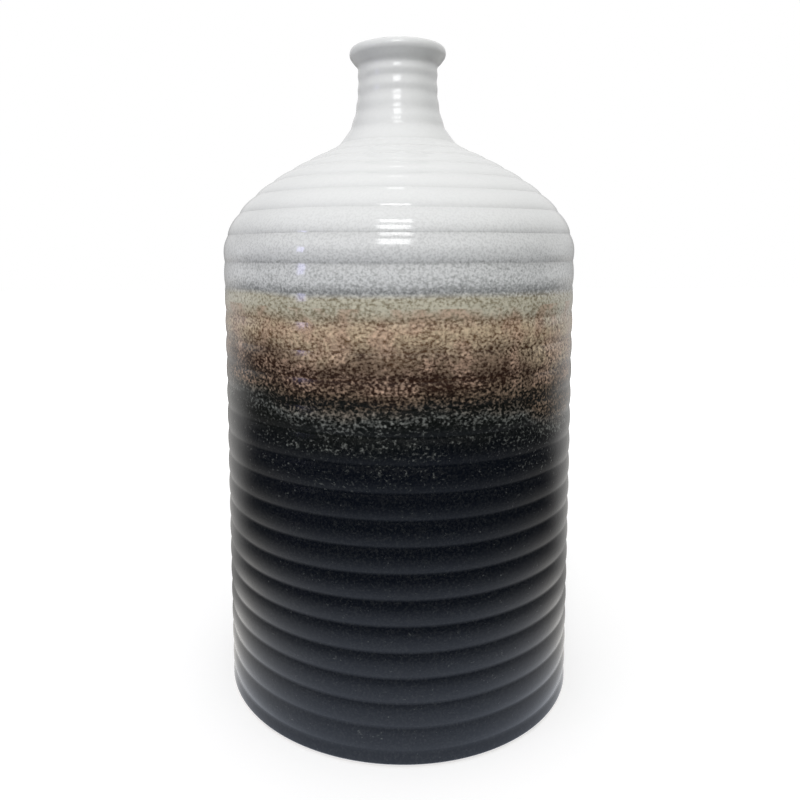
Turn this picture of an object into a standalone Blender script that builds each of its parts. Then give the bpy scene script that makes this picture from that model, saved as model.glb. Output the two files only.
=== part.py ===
"""Jug vase: a tall ribbed stoneware bottle with a domed shoulder, a short neck and a flared lip.

The pot is built the way a large bottle is thrown: a lower body with its floor and foot ring, a
domed shoulder, and a neck with the lip, each turned by itself and seated on the last with a
rabbet. Four round pads sit under the foot ring. Units are metres, +Z is up, and the origin is
on the vase's axis where the pads meet the table.
"""

import math

import bmesh
import bpy
import numpy as np
from mathutils import Vector
from mathutils.geometry import interpolate_bezier

# Overall form, with the heights stacked from the foot ring to the lip
BODY_RADIUS = 0.100
WALL_HEIGHT = 0.2473
SHOULDER_HEIGHT = 0.0589
NECK_HEIGHT = 0.0388
LIP_HEIGHT = 0.0174
NECK_BASE_RADIUS = 0.0373
NECK_RADIUS = 0.0228
LIP_OVERHANG = 0.0047

# Shape of each curve: the directions in which it ends, and how far it holds them,
# as shares of its own width and height
SHOULDER_SLOPE = math.radians(24)
SHOULDER_TURN = 0.268
SHOULDER_REACH = 0.772
NECK_SLOPE = math.radians(34)
NECK_REACH = 0.723
NECK_TURN = 0.488
LIP_SLOPE = math.radians(54)
LIP_TURN = 0.50
LIP_REACH = 0.36

# The rolled lip: a bead that stands out over the flare, and how far round it starts and ends
BEAD_HALF_HEIGHT = 0.0024
BEAD_START = math.radians(-60)
BEAD_END = math.radians(142)

# Clay thicknesses
WALL = 0.006
NECK_WALL = 0.005
LIP_WALL = 0.0044
FLOOR = 0.008
FLOOR_FILLET = 0.012

# Foot ring under the floor
FOOT_RING_WIDTH = 0.014
FOOT_RECESS = 0.003
FOOT_EDGE_RADIUS = 0.0015

# Throwing rings: narrow grooves between convex bands, spaced along the outline. They are deepest
# at the foot, where the potter's hand was heaviest, and fade towards the shoulder.
WALL_RINGS = 18
WALL_FIRST_PITCH = 0.0126
FOOT_RING_DEPTH = 0.0007
WALL_TOP_RING_DEPTH = 0.0004
FIRST_GROOVE = 0.007
SHOULDER_RINGS = 8
SHOULDER_FIRST_PITCH = 0.0146
SHOULDER_RING_DEPTH = 0.0004
NECK_RINGS = 5
NECK_FIRST_PITCH = 0.0105
NECK_RING_DEPTH = 0.0003
PLAIN_BAND_UNDER_LIP = 0.0066
GROOVE_SHARPNESS = 1.3

# Seats between the sections, each at the bottom of a groove
SEAM_BELOW_SHOULDER = 0.0045
SEAM_ABOVE_NECK_BASE = 0.0045
BODY_TONGUE = 0.005
NECK_TONGUE = 0.003
JOINT_GAP = 0.0003

# Pads under the foot ring
PAD_COUNT = 4
PAD_RADIUS = 0.005
PAD_THICKNESS = 0.0012
FIRST_PAD_ANGLE = math.radians(45)

# Facets
SEGMENTS = 40
POINTS_PER_RING = 4
PAD_SEGMENTS = 24
ARC_STEPS = 4
LIP_ARC_STEPS = 8
LIP_STEP = 0.004
INNER_STEP = 0.008
CURVE_POINTS = 80
SHARP_ANGLE = math.radians(40)

FOOT_HEIGHT = PAD_THICKNESS + JOINT_GAP
NECK_BASE_HEIGHT = WALL_HEIGHT + SHOULDER_HEIGHT
NECK_WAIST_HEIGHT = NECK_BASE_HEIGHT + NECK_HEIGHT
TOP_HEIGHT = NECK_WAIST_HEIGHT + LIP_HEIGHT
LIP_CENTRE = (NECK_RADIUS + LIP_OVERHANG - LIP_WALL / 2, TOP_HEIGHT - BEAD_HALF_HEIGHT)


def curve(start, start_handle, end_handle, end):
    """Points of a Bezier curve in the plane of radius and height."""
    corners = [Vector((r, z, 0)) for r, z in (start, start_handle, end_handle, end)]
    return [(p.x, p.y) for p in interpolate_bezier(*corners, CURVE_POINTS)]


def arc(centre, radius, start_angle, end_angle, steps):
    """Points of an arc in the plane of radius and height."""
    angles = np.linspace(start_angle, end_angle, steps + 1)
    return [(centre[0] + radius * math.cos(a), centre[1] + radius * math.sin(a)) for a in angles]


def shoulder_curve():
    """The dome, from the straight wall to the neck's base."""
    start = (BODY_RADIUS, WALL_HEIGHT)
    end = (NECK_BASE_RADIUS, NECK_BASE_HEIGHT)
    start_handle = (start[0], start[1] + SHOULDER_TURN * SHOULDER_HEIGHT)
    reach = SHOULDER_REACH * (start[0] - end[0])
    end_handle = (end[0] + reach, end[1] - reach * math.tan(SHOULDER_SLOPE))
    return curve(start, start_handle, end_handle, end)


def neck_curve():
    """The neck, which sweeps in from its base to its waist."""
    start = (NECK_BASE_RADIUS, NECK_BASE_HEIGHT)
    end = (NECK_RADIUS, NECK_WAIST_HEIGHT)
    reach = NECK_REACH * (start[0] - end[0])
    start_handle = (start[0] - reach, start[1] + reach * math.tan(NECK_SLOPE))
    end_handle = (end[0], end[1] - NECK_TURN * NECK_HEIGHT)
    return curve(start, start_handle, end_handle, end)


def on_bead(angle):
    """Point of the lip's bead, counted from its outermost one."""
    return (
        LIP_CENTRE[0] + LIP_WALL / 2 * math.cos(angle),
        LIP_CENTRE[1] + BEAD_HALF_HEIGHT * math.sin(angle),
    )


def lip_curve():
    """The flare over the waist, which ends tucked under the lip's bead."""
    start = (NECK_RADIUS, NECK_WAIST_HEIGHT)
    end = on_bead(BEAD_START)
    start_handle = (start[0], start[1] + LIP_TURN * LIP_HEIGHT)
    reach = LIP_REACH * LIP_HEIGHT
    end_handle = (end[0] - reach * math.cos(LIP_SLOPE), end[1] - reach * math.sin(LIP_SLOPE))
    return curve(start, start_handle, end_handle, end)


class Outline:
    """The outer outline without its rings, read by the distance along it from the foot plane."""

    def __init__(self):
        parts = [[(BODY_RADIUS, 0.0)], shoulder_curve(), neck_curve()[1:], lip_curve()[1:]]
        self.points = np.array([point for part in parts for point in part])
        steps = np.linalg.norm(np.diff(self.points, axis=0), axis=1)
        self.distances = np.concatenate([[0.0], np.cumsum(steps)])
        self.neck_base = self.distances[CURVE_POINTS]
        self.neck_waist = self.distances[2 * CURVE_POINTS - 1]
        self.end = self.distances[-1]
        self.body_seam = WALL_HEIGHT - SEAM_BELOW_SHOULDER
        self.neck_seam = self.neck_base + SEAM_ABOVE_NECK_BASE

    def on_outline(self, distance):
        return np.array([np.interp(distance, self.distances, column) for column in self.points.T])

    def inward(self, distance):
        """Unit normal that points into the clay."""
        reach = 0.0005
        low = self.on_outline(max(distance - reach, 0.0))
        high = self.on_outline(min(distance + reach, self.end))
        along = (high - low) / np.linalg.norm(high - low)
        return np.array([-along[1], along[0]])

    def at(self, distance, depth):
        """Radius and height of the point that lies this deep under the outline."""
        return tuple(self.on_outline(distance) + depth * self.inward(distance))

    def thickness(self, distance):
        """Clay thickness: even up to the neck's base, then thinner to the waist and the lip."""
        stations = (self.neck_base, self.neck_waist, self.end)
        return np.interp(distance, stations, (WALL, NECK_WALL, LIP_WALL))


def spaced(start, end, count, first_pitch):
    """Places from start to end in count steps that grow or shrink evenly from the first."""
    change = (end - start - first_pitch * count) / (count * count - count)
    return [start + (first_pitch - change) * k + change * k * k for k in range(count + 1)]


def ring_grooves(outline):
    """Each groove's place along the outline, with its depth."""
    body, neck, last = outline.body_seam, outline.neck_seam, outline.end - PLAIN_BAND_UNDER_LIP
    wall = spaced(FIRST_GROOVE, body, WALL_RINGS, WALL_FIRST_PITCH)
    dome = spaced(body, neck, SHOULDER_RINGS, SHOULDER_FIRST_PITCH)[1:]
    top = spaced(neck, last, NECK_RINGS, NECK_FIRST_PITCH)[1:]
    grooves = list(zip(wall, np.linspace(FOOT_RING_DEPTH, WALL_TOP_RING_DEPTH, len(wall))))
    grooves += [(place, SHOULDER_RING_DEPTH) for place in dome]
    grooves += [(place, NECK_RING_DEPTH) for place in top]
    return grooves


def ring_relief(distance, grooves):
    """How deep the rings cut here: most at a groove, nothing at the crest between two grooves."""
    places = [place for place, depth in grooves]
    nearest = min(range(len(places)), key=lambda i: abs(places[i] - distance))
    other = nearest + 1 if distance > places[nearest] else nearest - 1
    if not 0 <= other < len(places):
        other = 2 * nearest - other
    pitch = abs(places[other] - places[nearest])
    phase = min(abs(distance - places[nearest]) / pitch, 0.5)
    return grooves[nearest][1] * (1 - math.sin(math.pi * phase)) ** GROOVE_SHARPNESS


def ringed_surface(outline, grooves, start, end):
    """Outer surface points from start to end, with POINTS_PER_RING points in each band."""
    places = [place for place, depth in grooves]
    stations = list(np.arange(places[-1], outline.end, LIP_STEP))
    for low, high in zip(places, places[1:]):
        stations += list(np.linspace(low, high, POINTS_PER_RING, endpoint=False))
    between = sorted(s for s in stations if start + JOINT_GAP < s < end - JOINT_GAP)
    return [outline.at(s, ring_relief(s, grooves)) for s in [start] + between + [end]]


def inner_surface(outline, start, end):
    """Inner surface points from start down to end."""
    count = round((start - end) / INNER_STEP) + 2
    return [outline.at(s, outline.thickness(s)) for s in np.linspace(start, end, count)]


def tongue(outline, seam, length):
    """Top of a lower section: a ledge, then the outer face of a tongue in mid-wall."""
    middle = outline.thickness(seam) / 2
    return [outline.at(seam, middle), outline.at(seam + length, middle)]


def rabbet(outline, seam, length):
    """Bottom of an upper section, one gap away from the tongue that it covers."""
    middle = outline.thickness(seam) / 2 - JOINT_GAP
    return [
        outline.at(seam + length + JOINT_GAP, middle),
        outline.at(seam + JOINT_GAP, middle),
    ]


def lower_body_profile(outline, grooves):
    seam = outline.body_seam
    inner_radius = BODY_RADIUS - WALL
    floor_height = FOOT_RECESS + FLOOR
    recess_radius = BODY_RADIUS - FOOT_RING_WIDTH
    edge_top = outline.at(FOOT_EDGE_RADIUS, ring_relief(FOOT_EDGE_RADIUS, grooves))
    edge_centre = (edge_top[0] - FOOT_EDGE_RADIUS, FOOT_EDGE_RADIUS)
    fillet_centre = (inner_radius - FLOOR_FILLET, floor_height + FLOOR_FILLET)
    profile = [
        (0.0, FOOT_RECESS),
        (recess_radius - FOOT_RECESS, FOOT_RECESS),
        (recess_radius, 0.0),
    ]
    profile += arc(edge_centre, FOOT_EDGE_RADIUS, -math.pi / 2, 0, ARC_STEPS)[:-1]
    profile += ringed_surface(outline, grooves, FOOT_EDGE_RADIUS, seam)
    profile += tongue(outline, seam, BODY_TONGUE)
    profile += [outline.at(seam + BODY_TONGUE, WALL), (inner_radius, seam)]
    profile += arc(fillet_centre, FLOOR_FILLET, 0, -math.pi / 2, ARC_STEPS)
    profile.append((0.0, floor_height))
    return profile


def shoulder_profile(outline, grooves):
    low, high = outline.body_seam, outline.neck_seam
    profile = ringed_surface(outline, grooves, low + JOINT_GAP, high)
    profile += tongue(outline, high, NECK_TONGUE)
    profile += inner_surface(outline, high + NECK_TONGUE, low + BODY_TONGUE + JOINT_GAP)
    profile += rabbet(outline, low, BODY_TONGUE)
    return profile


def neck_profile(outline, grooves):
    low = outline.neck_seam
    profile = ringed_surface(outline, grooves, low + JOINT_GAP, outline.end)[:-1]
    profile += [on_bead(angle) for angle in np.linspace(BEAD_START, BEAD_END, LIP_ARC_STEPS + 1)]
    profile += inner_surface(outline, outline.end, low + NECK_TONGUE + JOINT_GAP)[1:]
    profile += rabbet(outline, low, NECK_TONGUE)
    return profile


def finish(name, colour, roughness):
    """Principled material of one colour."""
    material = bpy.data.materials.new(name)
    material.use_nodes = True
    material.diffuse_color = (*colour, 1.0)
    shader = material.node_tree.nodes["Principled BSDF"]
    shader.inputs["Base Color"].default_value = (*colour, 1.0)
    shader.inputs["Roughness"].default_value = roughness
    shader.inputs["Metallic"].default_value = 0.0
    return material


def mesh_from(name, bm, material):
    """Mesh data with its material and its smooth shading."""
    mesh = bpy.data.meshes.new(name)
    bm.to_mesh(mesh)
    bm.free()
    mesh.materials.append(material)
    mesh.shade_smooth()
    mesh.set_sharp_from_angle(angle=SHARP_ANGLE)
    return mesh


def place(name, mesh, location):
    obj = bpy.data.objects.new(name, mesh)
    obj.location = location
    bpy.context.collection.objects.link(obj)
    return obj


def turned(name, profile, seat_height, material):
    """Solid of revolution, with its origin on the axis at the height where it is seated."""
    bm = bmesh.new()
    verts = [bm.verts.new((r, 0.0, z - seat_height)) for r, z in profile]
    edges = [bm.edges.new(pair) for pair in zip(verts, verts[1:])]
    if profile[0][0] > 0.0:
        edges.append(bm.edges.new((verts[-1], verts[0])))
    bmesh.ops.spin(
        bm,
        geom=verts + edges,
        axis=(0.0, 0.0, 1.0),
        cent=(0.0, 0.0, 0.0),
        angle=2 * math.pi,
        steps=SEGMENTS,
        use_merge=True,
    )
    bmesh.ops.remove_doubles(bm, verts=bm.verts, dist=1e-6)
    bmesh.ops.recalc_face_normals(bm, faces=bm.faces)
    return place(name, mesh_from(name, bm, material), (0.0, 0.0, FOOT_HEIGHT + seat_height))


def foot_pads(material):
    """Round pads under the middle of the foot ring's flat face, all sharing one mesh."""
    bm = bmesh.new()
    bmesh.ops.create_cone(
        bm,
        cap_ends=True,
        segments=PAD_SEGMENTS,
        radius1=PAD_RADIUS,
        radius2=PAD_RADIUS,
        depth=PAD_THICKNESS,
    )
    mesh = mesh_from("foot_pad", bm, material)
    ring_middle = BODY_RADIUS - (FOOT_RING_WIDTH + FOOT_EDGE_RADIUS) / 2
    for index in range(PAD_COUNT):
        angle = FIRST_PAD_ANGLE + index * 2 * math.pi / PAD_COUNT
        x, y = ring_middle * math.cos(angle), ring_middle * math.sin(angle)
        place(f"foot_pad_{index + 1}", mesh, (x, y, PAD_THICKNESS / 2))


def clear_scene():
    for obj in list(bpy.data.objects):
        bpy.data.objects.remove(obj, do_unlink=True)


def main():
    clear_scene()
    outline = Outline()
    grooves = ring_grooves(outline)
    charcoal = finish("charcoal_glaze", (0.010, 0.013, 0.020), 0.25)
    speckled = finish("speckled_glaze", (0.52, 0.52, 0.49), 0.22)
    white = finish("white_glaze", (0.76, 0.77, 0.76), 0.16)
    felt = finish("pad_felt", (0.16, 0.15, 0.14), 0.95)
    neck_seat = outline.on_outline(outline.neck_seam)[1]
    turned("lower_body", lower_body_profile(outline, grooves), 0.0, charcoal)
    turned("shoulder", shoulder_profile(outline, grooves), outline.body_seam, speckled)
    turned("neck", neck_profile(outline, grooves), neck_seat, white)
    foot_pads(felt)


main()
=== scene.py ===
"""Jug vase: the surface and finish of a ribbed stoneware bottle in a reactive glaze.

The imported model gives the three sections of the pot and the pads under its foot. This script
models each section finely, with its throwing rings, and lays the glaze over them: charcoal at
the foot, brown under a crust of pale crystals in the middle, white above.
"""

import math

import bmesh
import bpy
import numpy as np
from bpy.props import FloatProperty, FloatVectorProperty, IntProperty, PointerProperty
from mathutils import Matrix, Vector, noise
from mathutils.geometry import interpolate_bezier


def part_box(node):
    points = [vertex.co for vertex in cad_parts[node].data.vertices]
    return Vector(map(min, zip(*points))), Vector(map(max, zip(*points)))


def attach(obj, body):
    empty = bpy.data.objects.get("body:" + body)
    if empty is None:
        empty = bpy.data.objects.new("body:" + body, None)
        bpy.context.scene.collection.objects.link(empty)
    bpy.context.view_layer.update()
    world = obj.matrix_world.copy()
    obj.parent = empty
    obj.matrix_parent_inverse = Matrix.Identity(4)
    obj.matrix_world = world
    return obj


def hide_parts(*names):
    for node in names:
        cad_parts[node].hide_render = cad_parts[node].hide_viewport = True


bl_info = {
    "name": "Jug Vase",
    "version": (1, 0, 0),
    "blender": (4, 5, 0),
    "location": "3D Viewport > Sidebar > Jug Vase",
    "description": "Ribbed stoneware jug vase in a reactive glaze",
    "category": "Add Mesh",
}

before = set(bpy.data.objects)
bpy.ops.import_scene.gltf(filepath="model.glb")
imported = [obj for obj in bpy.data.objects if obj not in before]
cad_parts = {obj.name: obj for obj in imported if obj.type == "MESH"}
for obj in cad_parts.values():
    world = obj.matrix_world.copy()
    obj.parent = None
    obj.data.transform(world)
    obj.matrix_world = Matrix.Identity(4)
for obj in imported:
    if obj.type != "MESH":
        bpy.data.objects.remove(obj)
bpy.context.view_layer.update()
BODY_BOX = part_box("lower_body")
NECK_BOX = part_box("neck")
PAD_NAMES = sorted(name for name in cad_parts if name.startswith("foot_pad"))
FOOT_HEIGHT = BODY_BOX[0][2]
TOP_HEIGHT = NECK_BOX[1][2] - FOOT_HEIGHT
MM = 0.001

# Curves of the outline: the slopes they end in, and how far they hold them, as shares of the
# curve's own width or height
SHOULDER_SLOPE = math.radians(24)
SHOULDER_TURN = 0.268
SHOULDER_REACH = 0.772
NECK_SLOPE = math.radians(34)
NECK_REACH = 0.723
NECK_TURN = 0.488
LIP_SLOPE = math.radians(54)
LIP_TURN = 0.50
LIP_REACH = 0.36
# The rolled lip is a bead that stands out over the flare; how far round it starts and ends
BEAD_START = math.radians(-50)
BEAD_END = math.radians(142)

# Seams, and how each section laps under the next
BODY_SEAM_BELOW_SHOULDER = 0.0045
NECK_SEAM_ABOVE_NECK_BASE = 0.0045
LAP = 0.002
LAP_DEPTH = 0.00004
INNER_LAP_DEPTH = 0.0004

# What a profile point lies on: bare clay, the inside or the outer skin
CLAY, LINER, SKIN = -1.0, 0.0, 1.0

# How steeply a ring rises out of the groove below it and falls to the one above, on the wall and
# on the dome, where 1 is a full round ring; the grooves of the neck are soft hollows
WALL_SHARPNESS = (1.2, 1.0)
DOME_SHARPNESS = (1.8, 1.0)
# How far the change from one kind of groove to the next takes
GROOVE_CHANGE = 0.012

# Fineness of the mesh
SEGMENTS = 224
POINTS_PER_RING = 16
INNER_STEP = 0.006
LIP_STEP = 0.0005
ARC_STEPS = 8
FLOOR_STEPS = 5
POINTS_BELOW_RINGS = 5
CURVE_POINTS = 400
PAD_SEGMENTS = 64

# Points closer than this are one, and a section's rings of points keep this far from its ends
MERGE = 1e-6
END_GAP = 1e-5

# Rounding of the foot pads' edges
PAD_EDGE = 0.0003

# How often in a metre the potter's hand wobbles, how often that changes round the pot and up it,
# and how often the rings sway, which they stop doing this far from the foot and the lip
WOBBLES = 18.0
RING_CHANGES = Vector((11.0, 11.0, 70.0))
SWAYS = 14.0
CALM_END = 0.025


def linear(hex_colour):
    """Linear RGB of an sRGB colour written as RRGGBB."""
    channels = [int(hex_colour[i:i + 2], 16) / 255 for i in (0, 2, 4)]
    return [c / 12.92 if c <= 0.04045 else ((c + 0.055) / 1.055) ** 2.4 for c in channels]


def length(name, default, description):
    return FloatProperty(
        name=name, description=description, default=default, min=0.0, precision=4, unit="LENGTH"
    )


def colour(name, default, description):
    return FloatVectorProperty(
        name=name, description=description, default=linear(default), size=3, min=0.0, max=1.0,
        subtype="COLOR",
    )


def brightness(name, default, description):
    return FloatProperty(
        name=name, description=description, default=default, min=0.0, soft_max=10.0,
        subtype="FACTOR",
    )


class VaseForm(bpy.types.PropertyGroup):
    """Sizes of the pot, stacked from the foot ring to the lip."""

    body_radius: length("Body Radius", BODY_BOX[1][0], "Radius of the straight wall")
    wall_height: length("Wall Height", 0.2473, "Height of the straight wall")
    shoulder_height: length("Shoulder Height", 0.0589, "Height of the dome")
    neck_height: length("Neck Height", 0.0388, "From the neck's base to its waist")
    neck_base_radius: length("Neck Base Radius", 0.0373, "Radius where dome and neck meet")
    neck_radius: length("Neck Radius", 0.0228, "Radius at the waist of the neck")
    lip_overhang: length("Lip Overhang", 0.0047, "How far the lip stands out past the waist")
    wall: length("Wall", 0.006, "Clay thickness of the body and the dome")
    neck_wall: length("Neck Wall", 0.005, "Clay thickness at the waist")
    lip_wall: length("Lip Wall", 0.0044, "Clay thickness at the lip")
    bead_height: length("Bead Height", 0.0064, "Height of the lip's bead")
    floor: length("Floor", 0.008, "Clay thickness of the floor")
    floor_fillet: length("Floor Fillet", 0.012, "Radius between floor and wall, inside")
    foot_ring_width: length("Foot Ring Width", 0.014, "Width of the ring the pot stands on")
    foot_recess: length("Foot Recess", 0.003, "Depth of the hollow inside the foot ring")
    foot_edge: length("Foot Edge", 0.0015, "Radius of the foot's outer edge")


class VaseRings(bpy.types.PropertyGroup):
    """Throwing rings: soft convex bands between narrow grooves."""

    wall_rings: IntProperty(name="Wall Rings", description="Bands on the wall", default=18, min=3)
    dome_rings: IntProperty(name="Dome Rings", description="Bands on the dome", default=8, min=3)
    neck_rings: IntProperty(name="Neck Rings", description="Bands on the neck", default=5, min=3)
    wall_pitch: length("Wall Pitch", 0.0126, "Height of the lowest band on the wall")
    dome_pitch: length("Dome Pitch", 0.0146, "Width of the lowest band on the dome")
    neck_pitch: length("Neck Pitch", 0.0105, "Width of the lowest band on the neck")
    foot_depth: length("Foot Groove Depth", 0.0008, "Depth of the lowest groove")
    wall_depth: length("Wall Groove Depth", 0.0005, "Depth of the groove at the wall's top")
    dome_depth: length("Dome Groove Depth", 0.0007, "Depth of the lowest groove on the dome")
    neck_depth: length("Neck Groove Depth", 0.00035, "Depth of the grooves on the neck")
    first_groove: length("First Groove", 0.007, "Height of the lowest groove")
    plain_band: length("Plain Band", 0.0066, "Smooth clay under the lip")
    hand_drift: length("Hand Drift", 0.00010, "How far the surface drifts from true round")
    hand_sway: length("Hand Sway", 0.0008, "How far the rings sway up and down round the pot")


class VaseGlaze(bpy.types.PropertyGroup):
    """Colours of the glaze, clay and pads."""

    charcoal: colour("Charcoal", "060A12", "Dark glaze at the foot")
    ink: colour("Ink", "0D100E", "Green-black glaze under the brown band")
    umber: colour("Umber", "2E1B12", "Dark brown ground between the lowest pale crystals")
    bark: colour("Bark", "644A35", "Brown ground in the middle of the band")
    olive: colour("Olive", "867C64", "Ground at the top of the brown band")
    pewter: colour("Pewter", "B6B8B6", "Ground of the grey band")
    pearl: colour("Pearl", "DCDDDC", "Ground where grey turns to white")
    white: colour("White", "E9EAE9", "White glaze of the dome and neck")
    ash: colour("Ash", "7E807B", "Sparse crystals in the dark glaze")
    dun: colour("Dun", "8E7A67", "Crystals low in the brown band")
    sand: colour("Sand", "CCB89B", "Crystals of the brown band")
    rose: colour("Rose", "C8A992", "Pinkish crystals of the brown band")
    oat: colour("Oat", "CFCAB6", "Crystals at the top of the brown band")
    mist: colour("Mist", "EAEBEA", "Crystals of the grey band")
    liner: colour("Liner", "D9D8D2", "Clear glaze inside the pot")
    clay: colour("Clay", "A79B8B", "Bare stoneware under the foot")
    felt: colour("Felt", "3A3A3C", "Felt of the foot pads")


class VaseStudio(bpy.types.PropertyGroup):
    """How bright the lamps and the surroundings are, where 1 is white, and the table's colour."""

    key: brightness("Key", 8.0, "Softboxes in front")
    top: brightness("Top", 2.4, "Softbox above, a little behind the pot")
    window: brightness("Window", 8.0, "Window on the left")
    front: brightness("Front", 0.0, "Room in front of the pot, at table height")
    flanks: brightness("Flanks", 1.0, "Low at the sides")
    behind: brightness("Behind", 0.58, "Low behind the pot")
    far_behind: brightness("Far Behind", 0.348, "Low and straight behind the pot")
    ahead: brightness("Ahead", 1.30, "High in front")
    sides: brightness("Sides", 0.42, "High at the sides")
    back: brightness("Back", 0.80, "High behind")
    above: brightness("Above", 0.72, "Ceiling")
    laminate: colour("Laminate", "EDEDED", "Top of the table")


def curve(start, start_handle, end_handle, end):
    """Points of a Bezier curve in the plane of radius and height."""
    corners = [Vector((r, z, 0)) for r, z in (start, start_handle, end_handle, end)]
    return [(p.x, p.y) for p in interpolate_bezier(*corners, CURVE_POINTS)]


def arc(centre, radius, start_angle, end_angle, steps):
    """Points of an arc in the plane of radius and height."""
    angles = np.linspace(start_angle, end_angle, steps + 1)
    return [(centre[0] + radius * math.cos(a), centre[1] + radius * math.sin(a)) for a in angles]


def on(zone, points):
    """The same points, marked as lying in one zone and outside every groove."""
    return [(r, z, 0.0, zone) for r, z in points]


def spaced(start, end, count, first_pitch):
    """Places from start to end in count steps that grow or shrink evenly from the first."""
    change = (end - start - first_pitch * count) / (count * count - count)
    return [start + (first_pitch - change) * k + change * k * k for k in range(count + 1)]


class Outline:
    """The outer outline, read by the distance along it from the foot plane."""

    def __init__(self, form, rings):
        wall_top = (form.body_radius, form.wall_height)
        neck_base = (form.neck_base_radius, form.wall_height + form.shoulder_height)
        waist = (form.neck_radius, neck_base[1] + form.neck_height)
        self.bead = (form.lip_wall / 2, form.bead_height / 2)
        self.lip_centre = (
            form.neck_radius + form.lip_overhang - self.bead[0], TOP_HEIGHT - self.bead[1]
        )
        dome_reach = SHOULDER_REACH * (wall_top[0] - neck_base[0])
        neck_reach = NECK_REACH * (neck_base[0] - waist[0])
        lip_height = TOP_HEIGHT - waist[1]
        lip_reach = LIP_REACH * lip_height
        lip_end = self.on_bead(BEAD_START)
        dome = curve(
            wall_top,
            (wall_top[0], wall_top[1] + SHOULDER_TURN * form.shoulder_height),
            (neck_base[0] + dome_reach, neck_base[1] - dome_reach * math.tan(SHOULDER_SLOPE)),
            neck_base,
        )
        neck = curve(
            neck_base,
            (neck_base[0] - neck_reach, neck_base[1] + neck_reach * math.tan(NECK_SLOPE)),
            (waist[0], waist[1] - NECK_TURN * form.neck_height),
            waist,
        )
        lip = curve(
            waist,
            (waist[0], waist[1] + LIP_TURN * lip_height),
            (lip_end[0] - lip_reach * math.cos(LIP_SLOPE),
             lip_end[1] - lip_reach * math.sin(LIP_SLOPE)),
            lip_end,
        )
        self.points = np.array([(form.body_radius, 0.0)] + dome + neck[1:] + lip[1:])
        steps = np.linalg.norm(np.diff(self.points, axis=0), axis=1)
        self.distances = np.concatenate([[0.0], np.cumsum(steps)])
        self.neck_base = self.distances[CURVE_POINTS]
        self.waist = self.distances[2 * CURVE_POINTS - 1]
        self.end = self.distances[-1]
        self.body_seam = form.wall_height - BODY_SEAM_BELOW_SHOULDER
        self.neck_seam = self.neck_base + NECK_SEAM_ABOVE_NECK_BASE
        self.walls = (form.wall, form.neck_wall, form.lip_wall)
        self.grooves = self.groove_places(rings)

    def on_bead(self, angle):
        """Point of the lip's bead, counted from the outermost one."""
        return (
            self.lip_centre[0] + self.bead[0] * math.cos(angle),
            self.lip_centre[1] + self.bead[1] * math.sin(angle),
        )

    def groove_places(self, rings):
        """Pairs of place and depth, one for each groove; they fade from the foot upwards."""
        wall = spaced(rings.first_groove, self.body_seam, rings.wall_rings, rings.wall_pitch)
        dome = spaced(self.body_seam, self.neck_seam, rings.dome_rings, rings.dome_pitch)[1:]
        last = self.end - rings.plain_band
        neck = spaced(self.neck_seam, last, rings.neck_rings, rings.neck_pitch)[1:]
        grooves = list(zip(wall, np.linspace(rings.foot_depth, rings.wall_depth, len(wall))))
        grooves += list(zip(dome, np.linspace(rings.dome_depth, rings.neck_depth, len(dome))))
        grooves += [(place, rings.neck_depth) for place in neck]
        return grooves

    def groove_share(self, distance):
        """How much of a groove is here, 1 in its middle and 0 on a crest, and its full depth."""
        places = [place for place, depth in self.grooves]
        nearest = min(range(len(places)), key=lambda k: abs(places[k] - distance))
        step = 1 if distance > places[nearest] else -1
        other = nearest + step if 0 <= nearest + step < len(places) else nearest - step
        pitch = abs(places[other] - places[nearest])
        phase = min(abs(distance - places[nearest]) / pitch, 0.5)
        flank = 0 if distance > places[nearest] else 1
        sharpness = np.interp(
            distance, (self.body_seam - GROOVE_CHANGE, self.body_seam),
            (WALL_SHARPNESS[flank], DOME_SHARPNESS[flank]),
        )
        share_here = (1 - math.sin(math.pi * phase)) ** sharpness
        soft = np.interp(distance, (self.neck_seam, self.neck_seam + GROOVE_CHANGE), (0.0, 1.0))
        share_here += soft * (math.cos(math.pi * phase) ** 2 - share_here)
        return share_here, self.grooves[nearest][1]

    def on_outline(self, distance):
        return np.array([np.interp(distance, self.distances, column) for column in self.points.T])

    def inward(self, distance):
        """Unit normal that points into the clay."""
        reach = 0.0005
        low = self.on_outline(max(distance - reach, 0.0))
        high = self.on_outline(min(distance + reach, self.end))
        along = (high - low) / np.linalg.norm(high - low)
        return np.array([-along[1], along[0]])

    def at(self, distance, depth):
        """Radius and height of the point that lies this deep under the outline."""
        return tuple(self.on_outline(distance) + depth * self.inward(distance))

    def surface(self, distance, sunk=0.0):
        """Point of the outer skin, with its rings."""
        share_here, depth = self.groove_share(distance)
        return (*self.at(distance, share_here * depth + sunk), share_here, SKIN)

    def thickness(self, distance):
        return np.interp(distance, (self.neck_base, self.waist, self.end), self.walls)

    def stations(self, start, end):
        """Distances between start and end at which the outer surface gets a ring of points."""
        places = [place for place, depth in self.grooves]
        spots = []
        if start < places[0]:
            spots += list(np.linspace(start, places[0], POINTS_BELOW_RINGS))
        # On the glossy dome the points crowd near the grooves, where the surface turns fastest
        even = np.linspace(0.0, 1.0, POINTS_PER_RING, endpoint=False)
        crowded = 0.5 - 0.5 * np.cos(math.pi * even)
        for low, high in zip(places, places[1:]):
            spots += list(low + (high - low) * (even if low < self.body_seam else crowded))
        spots += list(np.arange(places[-1], self.end, LIP_STEP))
        between = [s for s in spots if start + END_GAP < s < end - END_GAP]
        return [start] + between + [end]

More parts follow.
